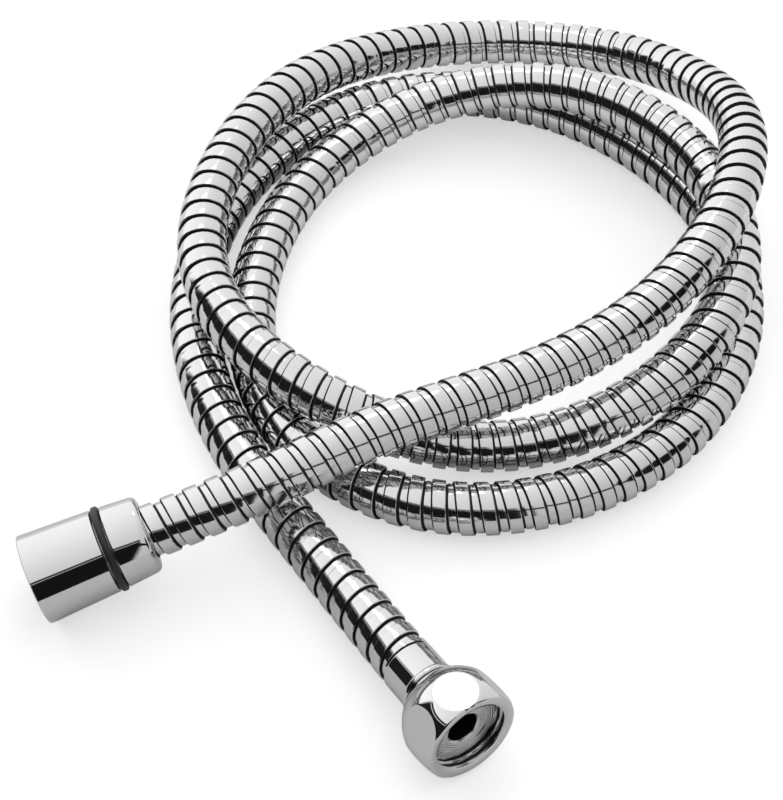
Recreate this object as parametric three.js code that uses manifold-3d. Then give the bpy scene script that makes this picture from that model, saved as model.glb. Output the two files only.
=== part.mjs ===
// A chromed shower hose: a flexible metal armour wound from interlocking strip over a rubber
// inner tube, with a conical swivel nut at one end and a hexagon union nut at the other.
// Millimetres, +Z up, lying on z = 0 in a loose coil.
import * as THREE from 'three';
import { mergeVertices } from 'three/addons/utils/BufferGeometryUtils.js';
import Module from 'manifold-3d';

const wasm = await Module();
wasm.setup();

// Fits: pieces that touch in the real hose stand this far apart here.
const fitGap = 0.3;
const degree = Math.PI / 180;

// Hose
const armourRadius = 7;
const armourBoreRadius = 5.6;
const linerRadius = 5.2;
const linerBoreRadius = 4;
const armourSides = 12;
const boreSides = 8;
const hoseSteps = 76;

// Half-inch pipe thread that both nuts carry, drawn as the plain bore of its crests
const threadCrestRadius = 9.5;
const mouthRadius = 10.6;
const mouthChamfer = 1.1;
const reliefRadius = 10.3;
const reliefLength = 2.4;

// What both inserts share: the sealing flange, the shank and the barbed tail
const flangeRadius = 9.1;
const flangeThickness = 1.8;
const sealRidgeRadius = 6.6;
const sealGrooveWidth = 0.8;
const sealGrooveDepth = 0.3;
const insertBoreRadius = 4.1;
const boreChamfer = 0.4;
const tailBoreRadius = 2.8;
const boreNeckLength = 2.5;
const boreNeckTaper = 1.3;
const tailRadius = 3.35;
const barbCount = 3;
const barbHeight = 0.35;
const linerHold = 8.6;

// Hexagon nut and its insert and ferrule; z = 0 at the nut's back, + towards its mouth
const hexAcrossFlats = 24;
const hexLength = 16.8;
const hexBarSpare = 2;
const hexSocketDepth = 10.2;
const hexDomeRadius = 13.2;
const hexDomeMiddle = 11.2;
const hexFlangeRecess = 3.5;
const hexShankRadius = 5.65;
const hexShankTail = 1.4;
const ferruleRadius = 7.1;
const ferruleBeadRadius = 7.4;
const ferruleBeadWidth = 1.3;
const ferruleLength = 9.6;

// Cone nut with its collar, bearing ring and insert; z = 0 at the collar's back
const ringWidth = 1.7;
const ringRadius = 11.25;
const ringDepth = 2.35;
const ringEdge = 0.35;
const ringProudOfCollar = 0.6;
const ringProudOfNut = 0.4;
const collarLength = 9.3;
const collarDraft = 0.55;
const collarWall = 1.5;
const collarShoulderDepth = 1.5;
const collarShoulderLength = 1.9;
const collarFrontRadius = ringRadius - ringProudOfCollar;
const collarBackRadius = collarFrontRadius - collarDraft;
const collarCavityRadius = ringRadius - ringDepth;
const coneLength = 18.9;
const coneBackRadius = ringRadius - ringProudOfNut;
const coneRimRadius = 11.65;
const coneEdge = 0.35;
const coneCavityDepth = 4.8;
const coneWeb = 3.4;
const coneShankRadius = 6.2;
const washerThickness = 0.6;
const sealRingRadius = 0.5;
const armourInCollar = 4;
const coneSleevePlay = 0.5;
const coneSleeveRadius = collarCavityRadius - coneSleevePlay;

// How the two ends lie on the floor
const coneHeading = 167 * degree;
const coneDroop = 9.5 * degree;
const coneBack = { x: -98.5, y: -20.2 };
const hexHeading = -90 * degree;
const hexClimb = 8 * degree;
const hexMouth = { x: -64, y: -110.6 };

// Where the middle of the hose runs between its two ends, from the cone nut to the hexagon nut.
// A height of 7 lies on the floor; the higher points pass over the turns beneath.
const route = [
  [-73.5, -26.3, 21.3], [-39, -31.3, 26], [6, -38.8, 26.3], [42, -40.3, 30.3], [77.5, -29.5, 36],
  [107.5, -4, 34], [122.5, 30.5, 21.5], [118.5, 67.5, 10.5], [93, 96, 7], [56, 105, 13.2],
  [18, 99, 20.8], [-17, 80, 22.5], [-42, 50, 22], [-48, 15, 22.3], [-35.2, -17.3, 16.8],
  [-9, -39.5, 7.8], [27, -53.3, 13.6], [63.3, -47.8, 21.8], [91, -21, 21.8], [100, 16.5, 21.5],
  [86.3, 52.5, 21.3], [55, 75, 14.9], [17, 76.3, 8.3], [-17.5, 57, 7], [-41, 26.5, 7],
  [-48.5, -12, 7], [-31.5, -47, 7], [2.5, -65, 7], [42, -64, 7], [76, -44.5, 7],
  [97, -12, 7], [100, 27, 7], [86, 63.5, 7], [52, 90, 7], [5, 90, 7],
  [-38, 61, 7], [-61, 13.5, 7], [-64, -55, 7],
];

// Materials
const chrome = { color: 0xd9dadc, roughness: 0.08, metalness: 1 };
const turnedBrass = { color: 0x9b9c9e, roughness: 0.3, metalness: 1 };
const blackPlastic = { color: 0x111112, roughness: 0.45, metalness: 0 };
const blackRubber = { color: 0x17171a, roughness: 0.75, metalness: 0 };
const whiteNylon = { color: 0xe8e6df, roughness: 0.5, metalness: 0 };

function mesh(name, geometry, finish) {
  const piece = new THREE.Mesh(geometry, new THREE.MeshStandardMaterial(finish));
  piece.name = name;
  return piece;
}

// A turned solid about +Z. The outline's [radius, height] corners run anticlockwise and close.
function turned(outline, segments) {
  const corners = outline.map(([radius, height]) => new THREE.Vector2(radius, height));
  corners.push(corners[0].clone());
  const geometry = new THREE.LatheGeometry(corners, segments);
  geometry.rotateX(Math.PI / 2);
  return geometry;
}

function toSolid(geometry) {
  const bare = geometry.index ? geometry.clone() : mergeVertices(geometry);
  bare.deleteAttribute('normal');
  bare.deleteAttribute('uv');
  const merged = mergeVertices(bare, 1e-4);
  const vertProperties = new Float32Array(merged.attributes.position.array);
  const triVerts = dropSlivers(new Uint32Array(merged.index.array));
  return new wasm.Manifold(new wasm.Mesh({ numProp: 3, vertProperties, triVerts }));
}

// Turned solids that touch the axis have triangles there with two equal corners.
function dropSlivers(corners) {
  const kept = [];
  for (let i = 0; i < corners.length; i += 3) {
    const [a, b, c] = corners.slice(i, i + 3);
    if (a !== b && b !== c && c !== a) {
      kept.push(a, b, c);
    }
  }
  return new Uint32Array(kept);
}

function fromSolid(solid) {
  const { vertProperties, triVerts } = solid.getMesh();
  const geometry = new THREE.BufferGeometry();
  geometry.setAttribute('position', new THREE.BufferAttribute(vertProperties, 3));
  geometry.setIndex(new THREE.BufferAttribute(triVerts, 1));
  geometry.computeVertexNormals();
  return geometry;
}

// Slopes at the points of a springy line, whose bend changes without a jump at any point.
function springSlopes(points, spans, startDirection, endDirection) {
  const slopes = [startDirection.clone()];
  const carry = [0];
  for (let i = 1; i < points.length - 1; i += 1) {
    const before = spans[i - 1];
    const after = spans[i];
    const weight = 2 * (before + after) - after * carry[i - 1];
    const pull = points[i].clone().sub(points[i - 1]).multiplyScalar((3 * after) / before);
    pull.addScaledVector(points[i + 1].clone().sub(points[i]), (3 * before) / after);
    slopes.push(pull.addScaledVector(slopes[i - 1], -after).divideScalar(weight));
    carry.push(before / weight);
  }
  slopes.push(endDirection.clone());
  for (let i = points.length - 2; i > 0; i -= 1) {
    slopes[i].addScaledVector(slopes[i + 1], -carry[i]);
  }
  return slopes;
}

// The middle line of the hose, which never sinks below its own radius.
class HoseLine extends THREE.Curve {
  constructor(points, startDirection, endDirection) {
    super();
    this.points = points;
    this.spans = points.slice(1).map((point, i) => point.distanceTo(points[i]));
    this.slopes = springSlopes(points, this.spans, startDirection, endDirection);
    this.arcLengthDivisions = 2000;
  }

  getPoint(t, target = new THREE.Vector3()) {
    const place = t * this.spans.length;
    const i = Math.min(Math.floor(place), this.spans.length - 1);
    const u = place - i;
    const v = 1 - u;
    target.set(0, 0, 0);
    target.addScaledVector(this.points[i], (1 + 2 * u) * v * v);
    target.addScaledVector(this.slopes[i], u * v * v * this.spans[i]);
    target.addScaledVector(this.points[i + 1], (1 + 2 * v) * u * u);
    target.addScaledVector(this.slopes[i + 1], -u * u * v * this.spans[i]);
    target.z = Math.max(target.z, armourRadius);
    return target;
  }
}

// A path through given stations, so that tubes drawn on the same stations never cross.
class StationPath extends THREE.Curve {
  constructor(stations) {
    super();
    this.stations = stations;
  }

  stationAt(u) {
    return this.stations[Math.round(u * (this.stations.length - 1))];
  }

  getPointAt(u) {
    return this.stationAt(u).point.clone();
  }

  getTangentAt(u) {
    return this.stationAt(u).direction.clone();
  }
}

function roundPolygon(radius, sides) {
  const corners = [];
  for (let i = 0; i < sides; i += 1) {
    const angle = (2 * Math.PI * i) / sides;
    corners.push(new THREE.Vector2(radius * Math.cos(angle), radius * Math.sin(angle)));
  }
  return corners;
}

function tube(stations, radius, sides, boreRadius) {
  const section = new THREE.Shape(roundPolygon(radius, sides));
  const bore = roundPolygon(boreRadius / Math.cos(Math.PI / boreSides), boreSides);
  section.holes.push(new THREE.Path(bore));
  return new THREE.ExtrudeGeometry(section, {
    steps: stations.length - 1,
    extrudePath: new StationPath(stations),
    bevelEnabled: false,
  });
}

function shifted(station, distance) {
  const point = station.point.clone().addScaledVector(station.direction, distance);
  return { point, direction: station.direction };
}

// Outline of the barbs on a tail that starts at startHeight and ends at endHeight, lower down.
function barbOutline(startHeight, endHeight) {
  const pitch = (startHeight - endHeight) / barbCount;
  const corners = [];
  for (let i = 0; i < barbCount; i += 1) {
    const base = endHeight + i * pitch;
    corners.push([tailRadius, base]);
    corners.push([tailRadius + barbHeight, base + 0.7 * pitch]);
    corners.push([tailRadius, base + 0.72 * pitch]);
  }
  return corners;
}

// Face of a sealing flange from its rim to the bore, with the shallow groove that grips a washer.
function sealFaceOutline(faceHeight, boreRadius) {
  const grooveOuter = sealRidgeRadius + sealGrooveWidth;
  return [
    [flangeRadius, faceHeight],
    [grooveOuter, faceHeight],
    [grooveOuter, faceHeight - sealGrooveDepth],
    [sealRidgeRadius, faceHeight - sealGrooveDepth],
    [sealRidgeRadius, faceHeight],
    [boreRadius + boreChamfer, faceHeight],
    [boreRadius, faceHeight - boreChamfer],
  ];
}

// Inside of a nut from its mouth down to the shoulder that the insert's flange bears on.
function socketOutline(length, shoulderHeight, holeRadius) {
  return [
    [mouthRadius, length],
    [threadCrestRadius, length - mouthChamfer],
    [threadCrestRadius, shoulderHeight + reliefLength + 0.6],
    [reliefRadius, shoulderHeight + reliefLength],
    [reliefRadius, shoulderHeight],
    [holeRadius, shoulderHeight],
  ];
}

// Hexagon end
const hexShoulder = hexLength - hexSocketDepth;
const hexFlangeFace = hexLength - hexFlangeRecess;
const hexFlangeBack = hexFlangeFace - flangeThickness;
const ferruleFront = -fitGap;
const ferruleBack = ferruleFront - ferruleLength;
const hexLinerEnd = -hexShankTail - fitGap;
const hexArmourEnd = ferruleBack - fitGap;
const hexRestRadius = Math.min(hexDomeRadius, hexAcrossFlats / 2);
const flatBack = hexDomeMiddle - Math.sqrt(hexDomeRadius ** 2 - hexRestRadius ** 2);

// The nut is a ball turned on a hexagon bar, so that each flat is left as a round.
function hexNut() {
  const barRadius = hexAcrossFlats / 2 / Math.cos(Math.PI / 6);
  const bar = new THREE.CylinderGeometry(barRadius, barRadius, hexLength + hexBarSpare, 6);
  bar.rotateX(Math.PI / 2);
  bar.rotateZ(Math.PI / 2);
  bar.translate(0, 0, hexLength / 2);

  const envelope = [[0, 0]];
  const backAngle = Math.asin(-hexDomeMiddle / hexDomeRadius);
  const frontAngle = Math.asin((hexLength - hexDomeMiddle) / hexDomeRadius);
  const domeSteps = 13;
  for (let i = 0; i <= domeSteps; i += 1) {
    const angle = backAngle + ((frontAngle - backAngle) * i) / domeSteps;
    const height = hexDomeMiddle + hexDomeRadius * Math.sin(angle);
    envelope.push([hexDomeRadius * Math.cos(angle), height]);
  }
  envelope.push([0, hexLength]);

  const socket = [[0, hexLength + 1], [0, -1], [hexShankRadius + fitGap, -1]];
  const inside = socketOutline(hexLength, hexShoulder, hexShankRadius + fitGap);
  socket.push(...inside.reverse());
  socket.push([mouthRadius, hexLength + 1]);

  const blank = toSolid(bar).intersect(toSolid(turned(envelope, 48)));
  return fromSolid(blank.subtract(toSolid(turned(socket, 48))));
}

// The nut hangs loose on the shank, slid back against the sleeve behind it.
function hexInsert() {
  const neck = boreNeckLength - hexShankTail;
  return turned([
    ...barbOutline(-hexShankTail, -hexShankTail - linerHold + fitGap),
    [tailRadius, -hexShankTail],
    [hexShankRadius, -hexShankTail],
    [hexShankRadius, hexFlangeBack],
    [flangeRadius, hexFlangeBack],
    ...sealFaceOutline(hexFlangeFace, insertBoreRadius),
    [insertBoreRadius, neck],
    [tailBoreRadius, neck - boreNeckTaper],
    [tailBoreRadius, -hexShankTail - linerHold + fitGap],
  ], 28);
}

// The plain sleeve behind the nut, pressed over the inner tube and the barbs.
function hexFerrule() {
  const beadBack = ferruleFront - ferruleBeadWidth;
  const linerHole = linerRadius + fitGap;
  const shankHole = hexShankRadius + fitGap;
  return turned([
    [linerHole, ferruleBack],
    [ferruleRadius - 0.4, ferruleBack],
    [ferruleRadius, ferruleBack + 0.4],
    [ferruleRadius, beadBack],
    [ferruleBeadRadius, beadBack + 0.3],
    [ferruleBeadRadius, ferruleFront - 0.3],
    [ferruleRadius, ferruleFront],
    [shankHole, ferruleFront],
    [shankHole, hexLinerEnd],
    [linerHole, hexLinerEnd],
  ], 40);
}

// Cone end
const ringBack = collarLength + fitGap;
const ringFront = ringBack + ringWidth;
const coneNutBack = ringFront + fitGap;
const coneNutMouth = coneNutBack + coneLength;
const coneWebBack = coneNutBack + coneCavityDepth;
const coneShoulder = coneWebBack + coneWeb;
const washerBack = coneShoulder + fitGap;
const coneFlangeBack = washerBack + washerThickness + fitGap;
const coneFlangeFace = coneFlangeBack + flangeThickness;
const coneSleeveBack = armourInCollar + fitGap;
const coneLinerEnd = armourInCollar + linerHold;
const coneShankTail = coneLinerEnd + fitGap;
const webHoleRadius = coneShankRadius + fitGap;
const sealRingMiddle = coneShankRadius - sealRingRadius;
const sealRingHeight = coneWebBack + coneWeb / 2;

function coneCollar() {
  const hoseHole = armourRadius + fitGap;
  return turned([
    [hoseHole, 0],
    [collarBackRadius - collarShoulderDepth, 0],
    [collarBackRadius - 0.6, 0.35],
    [collarBackRadius - 0.15, 1],
    [collarBackRadius, collarShoulderLength],
    [collarFrontRadius, collarLength - 0.3],
    [collarFrontRadius - 0.3, collarLength],
    [collarCavityRadius, collarLength],
    [collarCavityRadius, collarWall],
    [hoseHole, collarWall],
  ], 48);
}

function bearingRing() {
  return turned([
    [collarCavityRadius, ringBack],
    [ringRadius - ringEdge, ringBack],
    [ringRadius, ringBack + ringEdge],
    [ringRadius, ringFront - ringEdge],
    [ringRadius - ringEdge, ringFront],
    [collarCavityRadius, ringFront],
  ], 48);
}

function coneNut() {
  return turned([
    [collarCavityRadius, coneNutBack],
    [coneBackRadius - coneEdge, coneNutBack],
    [coneBackRadius, coneNutBack + coneEdge],
    [coneRimRadius, coneNutMouth - coneEdge],
    [coneRimRadius - coneEdge, coneNutMouth],
    ...socketOutline(coneNutMouth, coneShoulder, webHoleRadius),
    [webHoleRadius, coneWebBack],
    [collarCavityRadius, coneWebBack],
  ], 48);
}

function coneInsert() {
  const tailEnd = coneShankTail - linerHold + fitGap;
  const grooveRadius = sealRingMiddle - sealRingRadius - fitGap;
  const grooveHalf = sealRingRadius + fitGap;
  const neck = coneShankTail + boreNeckLength;
  return turned([
    ...barbOutline(coneShankTail, tailEnd),
    [tailRadius, coneShankTail],
    [coneShankRadius, coneShankTail],
    [coneShankRadius, sealRingHeight - grooveHalf],
    [grooveRadius, sealRingHeight - grooveHalf],
    [grooveRadius, sealRingHeight + grooveHalf],
    [coneShankRadius, sealRingHeight + grooveHalf],
    [coneShankRadius, coneFlangeBack],
    [flangeRadius, coneFlangeBack],
    ...sealFaceOutline(coneFlangeFace, insertBoreRadius),
    [insertBoreRadius, neck],
    [tailBoreRadius, neck - boreNeckTaper],
    [tailBoreRadius, tailEnd],
  ], 28);
}

function swivelRing() {
  const geometry = new THREE.TorusGeometry(sealRingMiddle, sealRingRadius, 8, 28);
  geometry.translate(0, 0, sealRingHeight);
  return geometry;
}

// A plain ring with square edges between two heights
function squareRing(innerRadius, outerRadius, low, high) {
  return turned([
    [innerRadius, low],
    [outerRadius, low],
    [outerRadius, high],
    [innerRadius, high],
  ], 32);
}

// Turns a group so that its +Z leaves along a compass heading and climbs by an angle.
function aim(group, heading, climb) {
  group.rotation.set(Math.PI / 2 - climb, 0, heading + Math.PI / 2, 'ZXY');
  group.updateMatrixWorld(true);
}

function stationOn(group, height, sense) {
  const point = group.localToWorld(new THREE.Vector3(0, 0, height));
  const direction = new THREE.Vector3(0, 0, sense).transformDirection(group.matrixWorld);
  return { point, direction };
}

const hexEnd = new THREE.Group();
const hexBackHeight = hexRestRadius * Math.cos(hexClimb) - flatBack * Math.sin(hexClimb);
const hexBackY = hexMouth.y + hexLength * Math.cos(hexClimb);
hexEnd.position.set(hexMouth.x, hexBackY, hexBackHeight);
aim(hexEnd, hexHeading, hexClimb);
hexEnd.add(mesh('hex_nut', hexNut(), chrome));
hexEnd.add(mesh('hex_end_insert', hexInsert(), turnedBrass));
hexEnd.add(mesh('hex_end_ferrule', hexFerrule(), chrome));

const coneEnd = new THREE.Group();
const coneBackHeight = coneRimRadius * Math.cos(coneDroop) + coneNutMouth * Math.sin(coneDroop);
coneEnd.position.set(coneBack.x, coneBack.y, coneBackHeight);
aim(coneEnd, coneHeading, -coneDroop);
const coneSleeve = squareRing(linerRadius + fitGap, coneSleeveRadius, coneSleeveBack, coneLinerEnd);
const slideWasher = squareRing(
  webHoleRadius, flangeRadius - 0.1, washerBack, washerBack + washerThickness,
);
coneEnd.add(mesh('cone_nut', coneNut(), chrome));
coneEnd.add(mesh('cone_collar', coneCollar(), chrome));
coneEnd.add(mesh('bearing_ring', bearingRing(), blackPlastic));
coneEnd.add(mesh('cone_end_insert', coneInsert(), turnedBrass));
coneEnd.add(mesh('cone_end_ferrule', coneSleeve, turnedBrass));
coneEnd.add(mesh('swivel_seal_ring', swivelRing(), blackRubber));
coneEnd.add(mesh('slide_washer', slideWasher, whiteNylon));

// Armour and inner tube share their stations; the inner tube runs on into both fittings.
const start = stationOn(coneEnd, armourInCollar, -1);
const end = stationOn(hexEnd, hexArmourEnd, 1);
const middle = route.map(([x, y, z]) => new THREE.Vector3(x, y, z));
const line = new HoseLine([start.point, ...middle, end.point], start.direction, end.direction);
const stations = [start];
for (let i = 1; i < hoseSteps; i += 1) {
  const u = i / hoseSteps;
  stations.push({ point: line.getPointAt(u), direction: line.getTangentAt(u) });
}
stations.push(end);
const hexLinerReach = hexLinerEnd - hexArmourEnd;
const linerStations = [shifted(start, -linerHold), ...stations, shifted(end, hexLinerReach)];

const hose = new THREE.Group();
const armour = tube(stations, armourRadius, armourSides, armourBoreRadius);
const liner = tube(linerStations, linerRadius, boreSides, linerBoreRadius);
hose.add(mesh('metal_hose', armour, chrome));
hose.add(mesh('inner_tube', liner, blackRubber));

const showerHose = new THREE.Group();
showerHose.add(hose, hexEnd, coneEnd);

export default showerHose;
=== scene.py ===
# A chromed shower hose lying in a loose coil, with a conical swivel nut at one end
# and a domed hexagon union nut at the other. Metres, +Z up.
import math

import bpy
import numpy as np
from mathutils import Matrix, Vector


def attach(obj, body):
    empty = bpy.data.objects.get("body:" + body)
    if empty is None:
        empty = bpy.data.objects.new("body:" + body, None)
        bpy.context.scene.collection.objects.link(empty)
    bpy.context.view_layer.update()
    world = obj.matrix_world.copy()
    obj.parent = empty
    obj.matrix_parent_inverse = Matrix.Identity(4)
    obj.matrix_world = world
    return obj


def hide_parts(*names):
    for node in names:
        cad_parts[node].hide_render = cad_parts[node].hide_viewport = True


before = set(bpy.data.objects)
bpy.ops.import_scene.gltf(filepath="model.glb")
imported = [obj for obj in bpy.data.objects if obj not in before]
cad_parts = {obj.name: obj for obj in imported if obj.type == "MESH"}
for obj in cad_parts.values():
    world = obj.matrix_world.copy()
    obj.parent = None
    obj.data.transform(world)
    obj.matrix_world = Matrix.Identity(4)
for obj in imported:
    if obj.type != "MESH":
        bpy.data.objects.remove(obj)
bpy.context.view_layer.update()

MM = 0.001
TURN = 2 * math.pi

# Camera, in metres and with its lens and sensor in millimetres
CAMERA_PLACE = (-0.18674, -0.25920, 0.36872)
CAMERA_AIM = (-0.020, -0.012, 0.007)
CAMERA_LENS = 51.61
CAMERA_SENSOR = 24

# The armour is one strip wound round and round. Each turn is a raised crown, a step down,
# a lower band and a slot before the next crown. On the outside of a bend the slot opens.
HOSE_RADIUS = 7.0 * MM
ARMOUR_PITCH = 5.96 * MM
ARMOUR_SIDES = 28
CROWN_WIDTH = 3.50 * MM
CROWN_BACK_DROP = 0.12 * MM
CROWN_EDGE_DROP = 0.10 * MM
CROWN_LIP_DROP = 0.28 * MM
STEP_WIDTH = 0.58 * MM
STEP_FLOOR_RADIUS = 6.0 * MM
BAND_RADIUS = 6.30 * MM
BAND_EDGE_DROP = 0.08 * MM
BAND_LIP_DROP = 0.12 * MM
SLOT_WIDTH = 0.28 * MM
SLOT_OPENING = 0.4 * MM
SLOT_FLOOR_RADIUS = 5.7 * MM
STEPS_BETWEEN_POINTS = 60

# How the two ends lie: compass heading, climb and where each is placed, in millimetres
HEX_HEADING = math.radians(-90)
HEX_CLIMB = math.radians(8)
HEX_MOUTH = (-64.0, -110.6)
CONE_HEADING = math.radians(167)
CONE_CLIMB = math.radians(-9.5)
CONE_BACK = (-98.5, -20.2)

# Fittings, in millimetres. Heights run from the back of each end towards its mouth.
GAP = 0.3
EDGE = 0.25

FLANGE_RADIUS = 9.1
FLANGE_THICKNESS = 1.8
FLANGE_CHAMFER = 0.15
FLANGE_GROOVE = (6.6, 7.4)
FLANGE_GROOVE_DEPTH = 0.28
TOOL_RING_PITCH = 0.62
TOOL_RING_HEIGHT = 0.05
TOOL_RING_STEP = 0.1

BORE_RADIUS = 4.1
BORE_CHAMFER = 0.45
BORE_EASE = 0.03
BORE_NECK = 2.5
BORE_TAPER = 1.3
TAIL_BORE = 2.8
TAIL_RADIUS = 3.35

THREAD_CREST = 9.5
THREAD_DEPTH = 0.95
THREAD_PITCH = 1.814
THREAD_FLANK = 3.2
THREAD_FULLNESS = 1.35
THREAD_FADE_LOW = 0.5
THREAD_FADE_HIGH = 0.3
THREAD_LEAD_IN = 0.1
THREAD_RUN_OUT = 0.6
THREAD_ROW = 0.12
# Thread faces cut deeper than this share of the full depth get painted shade.
THREAD_ROOT_SHARE = 0.7
MOUTH_RADIUS = 10.7
MOUTH_CHAMFER = 0.5
RELIEF_RADIUS = 10.3
RELIEF_LENGTH = 2.4
RELIEF_CORNER = 0.2

HEX_FLATS = 24.0
HEX_LENGTH = 16.8
HEX_SOCKET = 10.2
HEX_DOME = 13.2
HEX_DOME_MIDDLE = 11.2
HEX_DOME_STEPS = 80
HEX_DOME_MARGIN = 0.02
HEX_CORNER_BLEND = 0.12
HEX_BAR_REACH = 0.5
HEX_FLANGE_RECESS = 3.5
HEX_SHANK_RADIUS = 5.65
HEX_SHANK_BACK = -1.4
HEX_TAIL_BACK = -9.7

FERRULE_RADIUS = 7.1
FERRULE_BORE = 5.5
FERRULE_LENGTH = 9.6
FERRULE_CHAMFER = 0.4
FERRULE_ROUNDING = 0.25
BEAD_RADIUS = 7.4
BEAD_LENGTH = 1.3
BEAD_RISE = 0.3

COLLAR_LENGTH = 9.3
COLLAR_WALL = 1.5
COLLAR_HOLE = 7.3
COLLAR_BACK_RADIUS = 10.1
COLLAR_FRONT_RADIUS = 10.65
COLLAR_FRONT_CHAMFER = 0.3
COLLAR_SHOULDER = [(1.5, 0.0), (0.6, 0.35), (0.15, 1.0), (0.0, 1.9)]
COLLAR_ROUNDING = 0.5
CAVITY_RADIUS = 8.9
ARMOUR_IN_COLLAR = 4.0

RING_RADIUS = 11.25
RING_LENGTH = 1.7
RING_ROUNDING = 0.75
RING_ROUNDING_STEPS = 6

CONE_LENGTH = 18.9
CONE_BACK_RADIUS = 10.85
CONE_RIM = 11.65
CONE_CAVITY = 4.8
CONE_WEB = 3.4
CONE_SHANK_RADIUS = 6.2
CONE_SHANK_BACK = 12.9
CONE_TAIL_BACK = 4.6
CONE_FLANGE_BACK = 21.0
SEAL_GROOVE = (17.3, 18.9)
SEAL_GROOVE_RADIUS = 4.9

# Surfaces: noise scales per metre, heights in metres and spreads as shares
CLOUD_SCALE = 260.0
WAVE_SCALE = 700.0
WAVE_DETAIL = 2.0
WAVE_HEIGHT = 0.02 * MM
SPECK_SCALE = 1800.0
SPECK_HEIGHT = 0.05 * MM
SPECK_ROUGHNESS = 0.08
SPECK_GREY = 0.3
COOL_TINT = 1.005
ARMOUR_SHARP_DEG = 50
TURNED_SHARP_DEG = 35

# Where the middle of the hose runs, from the cone nut to the hexagon nut, in metres
ROUTE = [
    (-0.0735, -0.0263, 0.0213), (-0.0390, -0.0313, 0.0260), (0.0060, -0.0388, 0.0263),
    (0.0420, -0.0403, 0.0303), (0.0775, -0.0295, 0.0360), (0.1075, -0.0040, 0.0340),
    (0.1225, 0.0305, 0.0215), (0.1185, 0.0675, 0.0105), (0.0930, 0.0960, 0.0070),
    (0.0560, 0.1050, 0.0132), (0.0180, 0.0990, 0.0208), (-0.0170, 0.0800, 0.0225),
    (-0.0420, 0.0500, 0.0220), (-0.0480, 0.0150, 0.0223), (-0.0352, -0.0173, 0.0168),
    (-0.0090, -0.0395, 0.0078), (0.0270, -0.0533, 0.0136), (0.0633, -0.0478, 0.0218),
    (0.0910, -0.0210, 0.0218), (0.1000, 0.0165, 0.0215), (0.0863, 0.0525, 0.0213),
    (0.0550, 0.0750, 0.0149), (0.0170, 0.0763, 0.0083), (-0.0175, 0.0570, 0.0070),
    (-0.0410, 0.0265, 0.0070), (-0.0485, -0.0120, 0.0070), (-0.0315, -0.0470, 0.0070),
    (0.0025, -0.0650, 0.0070), (0.0420, -0.0640, 0.0070), (0.0760, -0.0445, 0.0070),
    (0.0970, -0.0120, 0.0070), (0.1000, 0.0270, 0.0070), (0.0860, 0.0635, 0.0070),
    (0.0520, 0.0900, 0.0070), (0.0050, 0.0900, 0.0070), (-0.0380, 0.0610, 0.0070),
    (-0.0610, 0.0135, 0.0070), (-0.0640, -0.0550, 0.0070),
]

# Floor, in metres. It shows one grey to the metal, another to the camera and a third to
# everything else. The metal sees it paler towards the back.
FLOOR_SIZE = 4.0
FLOOR_DROP = 0.05 * MM
FLOOR_TO_METAL = 0.78
FLOOR_TO_METAL_BEHIND = 1.15
FLOOR_TO_CAMERA = 1.7
FLOOR_TO_OTHERS = 0.7
FLOOR_SHADOW_SHARE = 0.45
BEHIND = (0.6, 0.8, 0.0)
BEHIND_FROM = -0.08
BEHIND_TO = 0.10

# Studio round the floor, as directions from the object and how far along them a thing starts
STUDIO_DARK = 0.012
SKY_OVERHEAD = 0.88
SKY_LEAN = (-0.12, 0.28, 0.0)

# The dark wall to the left, as seen in the metal: its top with a pale line under it,
# its two upright edges and its foot on the floor
WALL_TOP = (0.25, 0.15, 1.0)
WALL_TOP_HEIGHT = 0.58
WALL_TOP_FADE = 0.01
WALL_LINE_BELOW = 0.07
WALL_LINE_HALF = 0.015
WALL_BACK_EDGE = (-0.866, -0.500, 0.0)
WALL_BACK_FADE = 0.04
WALL_FRONT_EDGE = (-0.978, 0.208, 0.0)
WALL_FRONT_FADE = 0.02
WALL_FOOT = 0.25
WALL_FOOT_FADE = 0.03

# A narrow dark rail in front
RAIL_TILT = (0.295, 0.0, 1.0)
RAIL_HEIGHT = 0.478
RAIL_HALF = 0.045
RAIL_FADE = 0.015
RAIL_LEFT = (0.0, 1.0, 0.0)
RAIL_LEFT_FADE = (-0.35, -0.45)
RAIL_RIGHT = (0.70, 0.30, 0.0)
RAIL_RIGHT_FADE = (0.32, 0.26)

# A dark stand to the right of it
STAND = (0.552, -0.760, 0.342)
STAND_EDGE = 0.968
STAND_FADE = 0.006

# A small softbox behind, in metres and watts
SOFTBOX_PLACE = (0.30, 0.62, 0.92)
SOFTBOX_AIM = (-0.064, -0.105, 0.02)
SOFTBOX_SIDE = 0.28
SOFTBOX_POWER = 0.40


# Placing the two ends

def aimed(heading, climb, place):
    """A matrix whose +Z leaves along a compass heading and climbs by an angle."""
    turn = Matrix.Rotation(heading + math.pi / 2, 4, "Z")
    tip = Matrix.Rotation(math.pi / 2 - climb, 4, "X")
    return Matrix.Translation(Vector(place) * MM) @ turn @ tip


hex_flat_back = HEX_DOME_MIDDLE - math.sqrt(HEX_DOME**2 - (HEX_FLATS / 2) ** 2)
hex_height = HEX_FLATS / 2 * math.cos(HEX_CLIMB) - hex_flat_back * math.sin(HEX_CLIMB)
hex_back_y = HEX_MOUTH[1] + HEX_LENGTH * math.cos(HEX_CLIMB)
cone_nut_back = COLLAR_LENGTH + 2 * GAP + RING_LENGTH
cone_mouth = cone_nut_back + CONE_LENGTH
cone_height = CONE_RIM * math.cos(CONE_CLIMB) - cone_mouth * math.sin(CONE_CLIMB)
HEX_END = aimed(HEX_HEADING, HEX_CLIMB, (HEX_MOUTH[0], hex_back_y, hex_height))
CONE_END = aimed(CONE_HEADING, CONE_CLIMB, (*CONE_BACK, cone_height))


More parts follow.
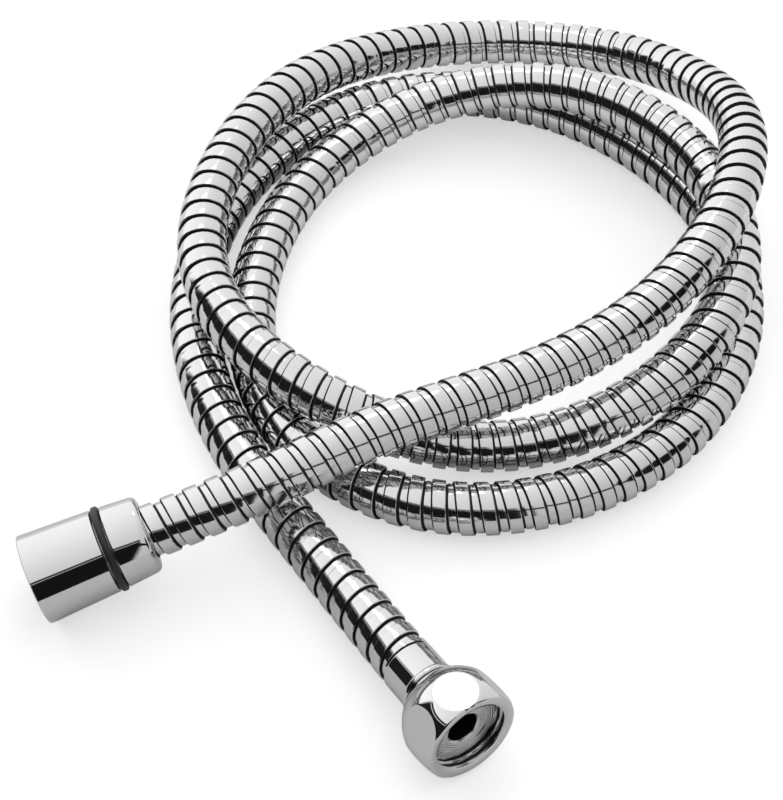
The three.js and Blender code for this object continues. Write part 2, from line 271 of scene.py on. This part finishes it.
def on_axis(end, height_mm, sense):
    """A point on an end's axis and the direction along it."""
    point = end @ Vector((0, 0, height_mm * MM))
    direction = (end.to_3x3() @ Vector((0, 0, sense))).normalized()
    return np.array(point), np.array(direction)


# Materials

def new_material(name):
    material = bpy.data.materials.new(name)
    material.use_nodes = True
    tree = material.node_tree
    return material, tree, tree.nodes["Principled BSDF"]


def add_noise(tree, scale, detail=3.0):
    place = tree.nodes.new("ShaderNodeTexCoord")
    noise = tree.nodes.new("ShaderNodeTexNoise")
    noise.inputs["Scale"].default_value = scale
    noise.inputs["Detail"].default_value = detail
    tree.links.new(place.outputs["Object"], noise.inputs["Vector"])
    return noise.outputs["Fac"]


def add_range(tree, source, low, high, socket):
    spread = tree.nodes.new("ShaderNodeMapRange")
    spread.inputs["To Min"].default_value = low
    spread.inputs["To Max"].default_value = high
    tree.links.new(source, spread.inputs["Value"])
    tree.links.new(spread.outputs["Result"], socket)


def add_bump(tree, shader, source, strength, distance):
    bump = tree.nodes.new("ShaderNodeBump")
    bump.inputs["Strength"].default_value = strength
    bump.inputs["Distance"].default_value = distance
    tree.links.new(source, bump.inputs["Height"])
    tree.links.new(bump.outputs["Normal"], shader.inputs["Normal"])


def metal(name, grey, roughness, spread, ripple):
    """Bright metal with cloudy roughness and a faint waviness in its surface; with a low grey
    it also gives the painted shade in bores and thread roots.
    """
    material, tree, shader = new_material(name)
    shader.inputs["Metallic"].default_value = 1.0
    shader.inputs["Base Color"].default_value = (grey, grey, grey * COOL_TINT, 1)
    cloud = add_noise(tree, CLOUD_SCALE)
    add_range(tree, cloud, roughness - spread, roughness + spread, shader.inputs["Roughness"])
    wave = add_noise(tree, WAVE_SCALE, WAVE_DETAIL)
    add_bump(tree, shader, wave, ripple, WAVE_HEIGHT)
    return material


def dull(name, grey, roughness, grain):
    """Rubber or plastic with a fine grain; also the near-black painted shade in the armour's
    slots and steps.
    """
    material, tree, shader = new_material(name)
    speck = add_noise(tree, SPECK_SCALE)
    add_range(tree, speck, roughness - SPECK_ROUGHNESS, roughness + SPECK_ROUGHNESS,
              shader.inputs["Roughness"])
    add_range(tree, speck, grey * (1 - SPECK_GREY), grey * (1 + SPECK_GREY),
              shader.inputs["Base Color"])
    add_bump(tree, shader, speck, grain, SPECK_HEIGHT)
    return material


CHROME = metal("chrome", 0.78, 0.05, 0.02, 0.06)
ARMOUR_CHROME = metal("armour_chrome", 0.78, 0.10, 0.04, 0.25)
# Painted shade: a near-black material laid on the armour's slot and step faces, where the real
# strip lies in shade.
SLOT_PAINTED_SHADE = dull("slot_shadow", 0.012, 0.6, 0.1)
TURNED = metal("turned_brass", 0.74, 0.26, 0.05, 0.2)
CUT_THREAD = metal("cut_thread", 0.72, 0.12, 0.04, 0.2)
# Painted shade: a near-black metal laid on the inserts' bores and the deepest thread roots,
# where the real metal lies in shade.
BORE_PAINTED_SHADE = metal("bore_shadow", 0.06, 0.45, 0.08, 0.2)
BLACK_PLASTIC = dull("black_plastic", 0.02, 0.4, 0.2)
BLACK_RUBBER = dull("black_rubber", 0.015, 0.6, 0.3)
NYLON = dull("white_nylon", 0.75, 0.5, 0.2)


def piece(name, vertices, faces, materials, body, replaced, sharp):
    """A smooth-shaded object that rides on a body and stands for a node."""
    mesh = bpy.data.meshes.new(name)
    mesh.from_pydata(vertices.tolist(), [], faces)
    for material in materials:
        mesh.materials.append(material)
    mesh.shade_smooth()
    mesh.set_sharp_from_angle(angle=math.radians(sharp))
    thing = bpy.data.objects.new(name, mesh)
    bpy.context.scene.collection.objects.link(thing)
    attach(thing, body)
    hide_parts(replaced)
    return thing


# The middle line of the hose: a springy line whose bend never jumps

def spring_slopes(points, spans, first, last):
    slopes = [np.array(first)]
    carry = [0.0]
    for i in range(1, len(points) - 1):
        before = spans[i - 1]
        after = spans[i]
        weight = 2 * (before + after) - after * carry[-1]
        pull = 3 * after / before * (points[i] - points[i - 1])
        pull = pull + 3 * before / after * (points[i + 1] - points[i])
        slopes.append((pull - after * slopes[-1]) / weight)
        carry.append(before / weight)
    slopes.append(np.array(last))
    for i in range(len(points) - 2, 0, -1):
        slopes[i] = slopes[i] - carry[i] * slopes[i + 1]
    return slopes


def middle_line(points, first, last):
    spans = [float(np.linalg.norm(b - a)) for a, b in zip(points, points[1:])]
    slopes = spring_slopes(points, spans, first, last)
    u = np.arange(STEPS_BETWEEN_POINTS)[:, None] / STEPS_BETWEEN_POINTS
    v = 1 - u
    samples = []
    for i, span in enumerate(spans):
        samples.append(
            points[i] * (1 + 2 * u) * v * v
            + slopes[i] * u * v * v * span
            + points[i + 1] * (1 + 2 * v) * u * u
            - slopes[i + 1] * u * u * v * span
        )
    line = np.vstack(samples + [points[-1][None, :]])
    line[:, 2] = np.maximum(line[:, 2], HOSE_RADIUS)
    return line


def carried_frames(line):
    """Directions along the line and a side vector carried along it without twist."""
    along = np.gradient(line, axis=0)
    along /= np.linalg.norm(along, axis=1)[:, None]
    side = np.cross(along[0], (0, 0, 1.0))
    sides = []
    for direction in along:
        side = side - direction * np.dot(side, direction)
        side = side / np.linalg.norm(side)
        sides.append(side)
    return along, np.array(sides)


hex_armour_end = -GAP - FERRULE_LENGTH - GAP
start_point, start_direction = on_axis(CONE_END, ARMOUR_IN_COLLAR, -1)
end_point, end_direction = on_axis(HEX_END, hex_armour_end, 1)
knots = [start_point, *[np.array(point) for point in ROUTE], end_point]
line = middle_line(knots, start_direction, end_direction)
along, sides = carried_frames(line)
ups = np.cross(along, sides)
gaps_between = np.linalg.norm(np.diff(line, axis=0), axis=1)
reach = np.concatenate([[0.0], np.cumsum(gaps_between)])
hose_length = float(reach[-1])
bend = np.gradient(along, axis=0) / np.gradient(reach)[:, None]


def at(table, distances):
    """Values of a table along the line at given distances."""
    columns = [np.interp(distances, reach, table[:, i]) for i in range(3)]
    return np.stack(columns, axis=-1)


def spokes(distance, angle):
    """Directions from the middle line outwards, at given distances and angles round it."""
    spoke = (
        at(sides, distance) * np.cos(angle)[:, None]
        + at(ups, distance) * np.sin(angle)[:, None]
    )
    return spoke / np.linalg.norm(spoke, axis=1)[:, None]


# The armour

# Across one turn: which part, how far across that part, the radius, and whether the face
# that follows lies in shade, which is painted there as a near-black material
STRIP_PROFILE = [
    ("crown", 0.00, SLOT_FLOOR_RADIUS, True),
    ("crown", 0.00, HOSE_RADIUS - CROWN_BACK_DROP, False),
    ("crown", 0.04, HOSE_RADIUS, False),
    ("crown", 0.93, HOSE_RADIUS, False),
    ("crown", 0.98, HOSE_RADIUS - CROWN_EDGE_DROP, False),
    ("crown", 1.00, HOSE_RADIUS - CROWN_LIP_DROP, True),
    ("step", 0.00, STEP_FLOOR_RADIUS, True),
    ("step", 1.00, STEP_FLOOR_RADIUS, True),
    ("band", 0.00, BAND_RADIUS - BAND_EDGE_DROP, False),
    ("band", 0.06, BAND_RADIUS, False),
    ("band", 0.94, BAND_RADIUS, False),
    ("band", 1.00, BAND_RADIUS - BAND_LIP_DROP, True),
    ("band", 1.00, SLOT_FLOOR_RADIUS, True),
]


def strip_points(base, angle):
    """The points of the strip, one profile for each step along it."""
    middle = np.clip(base + ARMOUR_PITCH / 2, 0, hose_length)
    stretch = 1 - HOSE_RADIUS * np.sum(spokes(middle, angle) * at(bend, middle), axis=1)
    crown = CROWN_WIDTH / stretch
    slot = SLOT_WIDTH + SLOT_OPENING * np.maximum(stretch - 1, 0)
    band = ARMOUR_PITCH - crown - STEP_WIDTH - slot
    starts = {"crown": 0, "step": crown, "band": crown + STEP_WIDTH}
    widths = {"crown": crown, "step": STEP_WIDTH, "band": band}
    rows = []
    for part, share, radius, _ in STRIP_PROFILE:
        offset = starts[part] + share * widths[part]
        distance = np.clip(base + offset, 0, hose_length)
        rows.append(at(line, distance) + spokes(distance, angle) * radius)
    return np.stack(rows, axis=1).reshape(-1, 3)


def strip_faces(base):
    """The faces of the strip, each turn joined to the next, and which lie in shade."""
    across = len(STRIP_PROFILE)
    columns = len(base)
    faces = []
    in_shade = []
    for i in range(columns - 1):
        if base[i] > hose_length:
            break
        for j in range(across):
            if j + 1 < across:
                near, far = i * across + j + 1, (i + 1) * across + j + 1
            elif i + 1 + ARMOUR_SIDES < columns:
                near, far = (i + ARMOUR_SIDES) * across, (i + 1 + ARMOUR_SIDES) * across
            else:
                continue
            faces.append((i * across + j, (i + 1) * across + j, far, near))
            in_shade.append(STRIP_PROFILE[j][3])
    return faces, in_shade


def flatten_shading(thing):
    """Lets the wide faces set the shading, so that flat lands mirror as flat lands."""
    weighted = thing.modifiers.new("weighted_normals", "WEIGHTED_NORMAL")
    weighted.keep_sharp = True
    weighted.weight = 80


def armour():
    columns = (math.ceil(hose_length / ARMOUR_PITCH) + 2) * ARMOUR_SIDES
    angle = np.arange(columns) * TURN / ARMOUR_SIDES
    base = (angle / TURN - 1) * ARMOUR_PITCH
    faces, in_shade = strip_faces(base)
    thing = piece("armour", strip_points(base, angle), faces, [ARMOUR_CHROME, SLOT_PAINTED_SHADE],
                  "hose", "metal_hose", ARMOUR_SHARP_DEG)
    # The faces in shade get the near-black painted shade.
    thing.data.polygons.foreach_set("material_index", np.array(in_shade, dtype=np.int32))
    flatten_shading(thing)
    return thing


# Turned pieces

def rounded(outline, radius, steps=3):
    """The closed outline with each corner replaced by a small arc."""
    result = []
    count = len(outline)
    for i, corner in enumerate(outline):
        here = np.array(corner, float)
        before = np.array(outline[i - 1], float) - here
        after = np.array(outline[(i + 1) % count], float) - here
        reach_before = np.linalg.norm(before)
        reach_after = np.linalg.norm(after)
        cut = min(radius, 0.4 * reach_before, 0.4 * reach_after)
        start = here + before / reach_before * cut
        end = here + after / reach_after * cut
        for k in range(steps + 1):
            t = k / steps
            bow = (1 - t) ** 2 * start + 2 * t * (1 - t) * here + t * t * end
            result.append(tuple(bow))
    return result


def turned(name, outline, end, body, material, replaced, segments=192, form=None,
           inside=None):
    """Spins a closed outline of (radius, height) in mm about an end's axis."""
    angle = np.arange(segments) * TURN / segments
    rings = []
    for radius, height in outline:
        radii = np.full(segments, float(radius))
        if form is not None:
            radii = form(radius, height, angle)
        heights = np.full(segments, float(height))
        rings.append(np.stack([radii * np.cos(angle), radii * np.sin(angle), heights], axis=1))
    local = np.vstack(rings) * MM
    matrix = np.array(end)
    vertices = local @ matrix[:3, :3].T + matrix[:3, 3]
    faces = []
    count = len(outline)
    for i in range(count):
        below = i * segments
        above = ((i + 1) % count) * segments
        for j in range(segments):
            k = (j + 1) % segments
            faces.append((below + j, below + k, above + k, above + j))
    materials = [material] if inside is None else [material, inside[1]]
    thing = piece(name, vertices, faces, materials, body, replaced, TURNED_SHARP_DEG)
    if inside is not None:
        inner = np.arange(len(faces)) >= inside[0] * segments
        thing.data.polygons.foreach_set("material_index", inner.astype(np.int32))
    return thing


def thread_span(length, shoulder):
    """The heights between which a nut's thread is cut."""
    return shoulder + RELIEF_LENGTH + THREAD_RUN_OUT, length - MOUTH_CHAMFER


def socket_rows(length, shoulder, hole):
    """The inside of a nut from its mouth to the shoulder that holds the insert."""
    low, high = thread_span(length, shoulder)
    rows = [(MOUTH_RADIUS, length), (THREAD_CREST + THREAD_LEAD_IN, high + THREAD_LEAD_IN)]
    steps = round((high - low) / THREAD_ROW)
    for i in range(steps + 1):
        rows.append((THREAD_CREST, high - (high - low) * i / steps))
    rows.append((RELIEF_RADIUS, shoulder + RELIEF_LENGTH))
    rows.append((RELIEF_RADIUS, shoulder + RELIEF_CORNER))
    rows.append((RELIEF_RADIUS - RELIEF_CORNER, shoulder))
    rows.append((hole, shoulder))
    return rows


def thread_depth(height, span, angle):
    """How deep a right-handed thread cuts at a height, fading at its two ends."""
    low, high = span
    phase = (height / THREAD_PITCH - angle / TURN) % 1.0
    groove = np.clip(THREAD_FULLNESS - np.abs(phase - 0.5) * THREAD_FLANK, 0, 1)
    fade_low = min(1.0, max(0.0, (height - low) / THREAD_FADE_LOW))
    fade_high = min(1.0, max(0.0, (high - height) / THREAD_FADE_HIGH))
    return THREAD_DEPTH * groove * (fade_low * fade_high)


def paint_shade_in_roots(nut, outline, span):
    """Paints the faces at the bottom of the thread near-black: painted shade for the shade they
    lie in.
    """
    segments = len(nut.data.polygons) // len(outline)
    angle = (np.arange(segments) + 0.5) * TURN / segments
    index = np.zeros(len(nut.data.polygons), dtype=np.int32)
    nut.data.polygons.foreach_get("material_index", index)
    index = index.reshape(len(outline), segments)
    for row, (radius, height) in enumerate(outline):
        if radius == THREAD_CREST:
            deep = thread_depth(height, span, angle) > THREAD_ROOT_SHARE * THREAD_DEPTH
            index[row][deep] = len(nut.data.materials)
    nut.data.materials.append(BORE_PAINTED_SHADE)
    nut.data.polygons.foreach_set("material_index", index.ravel())


def hex_side(angle):
    """Distance from the axis to the side of the hexagon bar."""
    return HEX_FLATS / 2 / np.cos(angle % (math.pi / 3) - math.pi / 6)


def soft_least(a, b, width):
    """The smaller of two, with the corner between them rounded off."""
    blend = np.clip(0.5 + 0.5 * (b - a) / width, 0, 1)
    return b * (1 - blend) + a * blend - width * blend * (1 - blend)


def dome_rows(hole):
    """The outside of the hexagon nut from its hole to its mouth: most of a ball."""
    low = math.asin(-HEX_DOME_MIDDLE / HEX_DOME)
    high = math.asin((HEX_LENGTH - HEX_DOME_MIDDLE) / HEX_DOME)
    rows = [(hole, EDGE), (hole + EDGE, 0.0), (HEX_DOME * math.cos(low) - EDGE, 0.0)]
    first = low + HEX_DOME_MARGIN
    sweep = high - low - 2 * HEX_DOME_MARGIN
    for i in range(HEX_DOME_STEPS + 1):
        angle = first + sweep * i / HEX_DOME_STEPS
        rows.append((HEX_DOME * math.cos(angle), HEX_DOME_MIDDLE + HEX_DOME * math.sin(angle)))
    rows.append((HEX_DOME * math.cos(high) - EDGE, HEX_LENGTH))
    return rows


def hex_nut():
    """A ball turned on a hexagon bar, with a threaded socket in its mouth."""
    shoulder = HEX_LENGTH - HEX_SOCKET
    hole = HEX_SHANK_RADIUS + GAP
    span = thread_span(HEX_LENGTH, shoulder)

    def form(radius, height, angle):
        if radius == THREAD_CREST:
            return radius + thread_depth(height, span, angle)
        if radius > HEX_FLATS / 2 - HEX_BAR_REACH:
            return soft_least(np.full_like(angle, radius), hex_side(angle), HEX_CORNER_BLEND)
        return np.full_like(angle, radius)

    outside = dome_rows(hole)
    outline = outside + socket_rows(HEX_LENGTH, shoulder, hole)
    nut = turned("union_nut", outline, HEX_END, "hex_nut_body", CHROME, "hex_nut",
                 segments=360, form=form, inside=(len(outside) + 1, CUT_THREAD))
    # The deepest thread roots get painted shade.
    paint_shade_in_roots(nut, outline, span)
    return nut


def cone_nut():
    """A plain cone with a hollow behind its web and a threaded socket in its mouth."""
    back = cone_nut_back
    shoulder = back + CONE_CAVITY + CONE_WEB
    hole = CONE_SHANK_RADIUS + GAP
    span = thread_span(cone_mouth, shoulder)

    def form(radius, height, angle):
        if radius == THREAD_CREST:
            return radius + thread_depth(height, span, angle)
        return np.full_like(angle, radius)

    outside = [
        (CAVITY_RADIUS, back), (CONE_BACK_RADIUS - EDGE, back), (CONE_BACK_RADIUS, back + EDGE),
        (CONE_RIM, cone_mouth - EDGE), (CONE_RIM - EDGE, cone_mouth),
    ]
    cavity = [(hole, back + CONE_CAVITY), (CAVITY_RADIUS, back + CONE_CAVITY)]
    outline = outside + socket_rows(cone_mouth, shoulder, hole) + cavity
    nut = turned("swivel_nut", outline, CONE_END, "cone_nut_body", CHROME, "cone_nut",
                 segments=256, form=form, inside=(len(outside) + 1, CUT_THREAD))
    # The deepest thread roots get painted shade.
    paint_shade_in_roots(nut, outline, span)
    return nut


def face_rows(face, bore):
    """A turned sealing face with its fine tool rings, from rim to bore."""
    rows = [(FLANGE_RADIUS, face - FLANGE_CHAMFER), (FLANGE_RADIUS - FLANGE_CHAMFER, face)]
    radius = FLANGE_RADIUS - 2 * FLANGE_CHAMFER
    land = bore + BORE_CHAMFER + FLANGE_CHAMFER
    while radius > land + FLANGE_CHAMFER:
        grooved = FLANGE_GROOVE[0] < radius < FLANGE_GROOVE[1]
        groove = FLANGE_GROOVE_DEPTH if grooved else 0.0
        ring = TOOL_RING_HEIGHT * math.sin(radius * TURN / TOOL_RING_PITCH)
        rows.append((radius, face - groove - TOOL_RING_HEIGHT + ring))
        radius -= TOOL_RING_STEP
    rows.append((land, face))
    rows.append((bore + BORE_CHAMFER, face - BORE_EASE))
    rows.append((bore, face - BORE_CHAMFER))
    return rows


def insert(name, node, end, flange_back, shank, tail, reach_back, groove=None):
    """A turned tailpiece: tail for the tube, shank for the nut, flange and water bore."""
    neck = tail + BORE_NECK
    outline = [(TAIL_RADIUS, reach_back), (TAIL_RADIUS, tail), (shank, tail)]
    if groove is not None:
        low, high = groove
        outline += [(shank, low), (SEAL_GROOVE_RADIUS, low)]
        outline += [(SEAL_GROOVE_RADIUS, high), (shank, high)]
    outline += [(shank, flange_back), (FLANGE_RADIUS, flange_back)]
    outline += face_rows(flange_back + FLANGE_THICKNESS, BORE_RADIUS)
    # From this face on, the bore, its taper and the back end get the near-black painted shade.
    bore_start = len(outline) - 1
    outline += [(BORE_RADIUS, neck), (TAIL_BORE, neck - BORE_TAPER), (TAIL_BORE, reach_back)]
    return turned(name, outline, end, "hose", TURNED, node, segments=128,
                  inside=(bore_start, BORE_PAINTED_SHADE))


def hex_ferrule():
    """The plain sleeve behind the hexagon nut, with a bead round its front."""
    front = -GAP
    back = front - FERRULE_LENGTH
    socket_radius = HEX_SHANK_RADIUS + GAP
    socket_back = HEX_SHANK_BACK - GAP
    outline = [
        (FERRULE_BORE, back),
        (FERRULE_RADIUS - FERRULE_CHAMFER, back),
        (FERRULE_RADIUS, back + FERRULE_CHAMFER),
        (FERRULE_RADIUS, front - BEAD_LENGTH),
        (BEAD_RADIUS, front - BEAD_LENGTH + BEAD_RISE),
        (BEAD_RADIUS, front - BEAD_RISE),
        (FERRULE_RADIUS, front),
        (socket_radius, front),
        (socket_radius, socket_back),
        (FERRULE_BORE, socket_back),
    ]
    return turned("end_sleeve", rounded(outline, FERRULE_ROUNDING), HEX_END, "hose",
                  CHROME, "hex_end_ferrule")


def cone_collar():
    shoulder = [(COLLAR_BACK_RADIUS - inset, height) for inset, height in COLLAR_SHOULDER]
    outline = [
        (COLLAR_HOLE, 0.0),
        *shoulder,
        (COLLAR_FRONT_RADIUS, COLLAR_LENGTH - COLLAR_FRONT_CHAMFER),
        (COLLAR_FRONT_RADIUS - COLLAR_FRONT_CHAMFER, COLLAR_LENGTH),
        (CAVITY_RADIUS, COLLAR_LENGTH),
        (CAVITY_RADIUS, COLLAR_WALL),
        (COLLAR_HOLE, COLLAR_WALL),
    ]
    return turned("collar", rounded(outline, COLLAR_ROUNDING), CONE_END, "hose",
                  CHROME, "cone_collar")


def bearing_ring():
    low = COLLAR_LENGTH + GAP
    high = low + RING_LENGTH
    outline = [
        (CAVITY_RADIUS, low), (RING_RADIUS, low), (RING_RADIUS, high), (CAVITY_RADIUS, high),
    ]
    return turned("ring", rounded(outline, RING_ROUNDING, RING_ROUNDING_STEPS), CONE_END,
                  "hose", BLACK_PLASTIC, "bearing_ring")


hose = armour()
union_nut = hex_nut()
end_sleeve = hex_ferrule()
cone_collar()
bearing_ring()
cone_nut()
hex_tailpiece = insert(
    "hex_tailpiece", "hex_end_insert", HEX_END,
    HEX_LENGTH - HEX_FLANGE_RECESS - FLANGE_THICKNESS,
    HEX_SHANK_RADIUS, HEX_SHANK_BACK, HEX_TAIL_BACK,
)
insert(
    "cone_tailpiece", "cone_end_insert", CONE_END, CONE_FLANGE_BACK,
    CONE_SHANK_RADIUS, CONE_SHANK_BACK, CONE_TAIL_BACK, SEAL_GROOVE,
)
hidden = {
    "inner_tube": BLACK_RUBBER,
    "swivel_seal_ring": BLACK_RUBBER,
    "slide_washer": NYLON,
    "cone_end_ferrule": TURNED,
}
for node, material in hidden.items():
    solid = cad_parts[node]
    solid.data.materials.clear()
    solid.data.materials.append(material)


# Floor, studio, lamp and camera

def along_direction(tree, source, direction):
    node = tree.nodes.new("ShaderNodeVectorMath")
    node.operation = "DOT_PRODUCT"
    node.inputs[1].default_value = direction
    tree.links.new(source, node.inputs[0])
    return node.outputs["Value"]


def faded(tree, source, start, end, low=0.0, high=1.0):
    node = tree.nodes.new("ShaderNodeMapRange")
    node.inputs["From Min"].default_value = start
    node.inputs["From Max"].default_value = end
    node.inputs["To Min"].default_value = low
    node.inputs["To Max"].default_value = high
    tree.links.new(source, node.inputs["Value"])
    return node.outputs["Result"]


def joined(tree, operation, first, *others):
    for other in others:
        node = tree.nodes.new("ShaderNodeMath")
        node.operation = operation
        tree.links.new(first, node.inputs[0])
        tree.links.new(other, node.inputs[1])
        first = node.outputs[0]
    return first


def stepped(tree, source, stops):
    """A grey read off a row of (position, grey) stops."""
    ramp = tree.nodes.new("ShaderNodeValToRGB")
    elements = ramp.color_ramp.elements
    while len(elements) < len(stops):
        elements.new(0.5)
    for element, (position, grey) in zip(elements, stops):
        element.position = position
        element.color = (grey, grey, grey, 1)
    tree.links.new(source, ramp.inputs["Fac"])
    return ramp.outputs["Color"]


def mixed(tree, share, first, second):
    """One shader or the other, by a share that is a number or a socket."""
    node = tree.nodes.new("ShaderNodeMixShader")
    if isinstance(share, float):
        node.inputs["Fac"].default_value = share
    else:
        tree.links.new(share, node.inputs["Fac"])
    tree.links.new(first, node.inputs[1])
    tree.links.new(second, node.inputs[2])
    return node.outputs[0]


def matt(tree, grey):
    node = tree.nodes.new("ShaderNodeBsdfDiffuse")
    node.inputs["Color"].default_value = (grey, grey, grey, 1)
    return node.outputs[0]


def floor_in_metal(tree):
    """The floor as the metal mirrors it: paler behind, and dark beyond the wall's foot."""
    place = tree.nodes.new("ShaderNodeTexCoord").outputs["Object"]
    lit = [
        faded(tree, along_direction(tree, place, edge), WALL_FOOT, WALL_FOOT + WALL_FOOT_FADE,
              1.0, STUDIO_DARK)
        for edge in (WALL_BACK_EDGE, WALL_FRONT_EDGE)
    ]
    pale = faded(tree, along_direction(tree, place, BEHIND), BEHIND_FROM, BEHIND_TO,
                 FLOOR_TO_METAL, FLOOR_TO_METAL_BEHIND)
    grey = joined(tree, "MULTIPLY", joined(tree, "MAXIMUM", *lit), pale)
    mirrored = tree.nodes.new("ShaderNodeBsdfDiffuse")
    tree.links.new(grey, mirrored.inputs["Color"])
    return mirrored.outputs[0]


def floor_material():
    """White with a faint shadow to the camera; to the metal, grey with a dark left side."""
    material = bpy.data.materials.new("floor")
    material.use_nodes = True
    tree = material.node_tree
    tree.nodes.clear()
    ray = tree.nodes.new("ShaderNodeLightPath")
    in_metal = joined(
        tree, "MAXIMUM", ray.outputs["Is Glossy Ray"], ray.outputs["Is Transmission Ray"],
    )
    white = tree.nodes.new("ShaderNodeEmission").outputs[0]
    seen = mixed(tree, FLOOR_SHADOW_SHARE, white, matt(tree, FLOOR_TO_CAMERA))
    unseen = mixed(tree, in_metal, matt(tree, FLOOR_TO_OTHERS), floor_in_metal(tree))
    surface = mixed(tree, ray.outputs["Is Camera Ray"], unseen, seen)
    output = tree.nodes.new("ShaderNodeOutputMaterial")
    tree.links.new(surface, output.inputs["Surface"])
    return material


def add_floor():
    half = FLOOR_SIZE / 2
    mesh = bpy.data.meshes.new("floor")
    corners = [(-half, -half, 0), (half, -half, 0), (half, half, 0), (-half, half, 0)]
    mesh.from_pydata(corners, [], [(0, 1, 2, 3)])
    mesh.materials.append(floor_material())
    floor = bpy.data.objects.new("floor", mesh)
    floor.location.z = -FLOOR_DROP
    bpy.context.scene.collection.objects.link(floor)


def dark_wall(tree, gaze):
    line_middle = WALL_TOP_HEIGHT - WALL_LINE_BELOW
    return joined(
        tree, "MINIMUM",
        stepped(tree, along_direction(tree, gaze, WALL_TOP), [
            (0.0, 1.0),
            (line_middle - WALL_LINE_HALF, 1.0),
            (line_middle, 0.0),
            (line_middle + WALL_LINE_HALF, 1.0),
            (WALL_TOP_HEIGHT - WALL_TOP_FADE, 1.0),
            (WALL_TOP_HEIGHT + WALL_TOP_FADE, 0.0),
        ]),
        faded(tree, along_direction(tree, gaze, WALL_BACK_EDGE),
              -WALL_BACK_FADE, WALL_BACK_FADE),
        faded(tree, along_direction(tree, gaze, WALL_FRONT_EDGE),
              -WALL_FRONT_FADE, WALL_FRONT_FADE),
    )


def dark_rail(tree, gaze):
    height = along_direction(tree, gaze, RAIL_TILT)
    low = RAIL_HEIGHT - RAIL_HALF
    high = RAIL_HEIGHT + RAIL_HALF
    return joined(
        tree, "MINIMUM",
        faded(tree, height, low - RAIL_FADE, low),
        faded(tree, height, high + RAIL_FADE, high),
        faded(tree, along_direction(tree, gaze, RAIL_LEFT), *RAIL_LEFT_FADE),
        faded(tree, along_direction(tree, gaze, RAIL_RIGHT), *RAIL_RIGHT_FADE),
    )


def add_world():
    """White to the camera; to the metal, a pale studio with dark things round it."""
    world = bpy.data.worlds.new("studio")
    world.use_nodes = True
    bpy.context.scene.world = world
    tree = world.node_tree
    tree.nodes.clear()
    gaze = tree.nodes.new("ShaderNodeTexCoord").outputs["Generated"]
    stand = faded(tree, along_direction(tree, gaze, STAND), STAND_EDGE - STAND_FADE, STAND_EDGE)
    dark = joined(tree, "MAXIMUM", dark_wall(tree, gaze), dark_rail(tree, gaze), stand)
    sky = faded(tree, along_direction(tree, gaze, SKY_LEAN), -1, 1,
                SKY_OVERHEAD - 1, SKY_OVERHEAD + 1)
    light = joined(tree, "MULTIPLY", sky, faded(tree, dark, 0, 1, 1.0, STUDIO_DARK))
    studio = tree.nodes.new("ShaderNodeBackground")
    tree.links.new(light, studio.inputs["Color"])
    white = tree.nodes.new("ShaderNodeBackground")
    white.inputs["Color"].default_value = (1, 1, 1, 1)
    ray = tree.nodes.new("ShaderNodeLightPath")
    surface = mixed(tree, ray.outputs["Is Camera Ray"], studio.outputs[0], white.outputs[0])
    output = tree.nodes.new("ShaderNodeOutputWorld")
    tree.links.new(surface, output.inputs["Surface"])


def point_at(thing, place, aim):
    thing.location = place
    direction = Vector(aim) - Vector(place)
    thing.rotation_euler = direction.to_track_quat("-Z", "Y").to_euler()
    bpy.context.scene.collection.objects.link(thing)


def add_softbox():
    data = bpy.data.lights.new("back_softbox", "AREA")
    data.shape = "SQUARE"
    data.size = SOFTBOX_SIDE
    data.energy = SOFTBOX_POWER
    point_at(bpy.data.objects.new("back_softbox", data), SOFTBOX_PLACE, SOFTBOX_AIM)


def add_camera():
    data = bpy.data.cameras.new("camera")
    data.sensor_fit = "VERTICAL"
    data.sensor_height = CAMERA_SENSOR
    data.lens = CAMERA_LENS
    camera = bpy.data.objects.new("camera", data)
    point_at(camera, CAMERA_PLACE, CAMERA_AIM)
    bpy.context.scene.camera = camera


add_floor()
add_world()
add_softbox()
add_camera()
bpy.context.scene.view_settings.view_transform = "Standard"

bpy.context.view_layer.update()
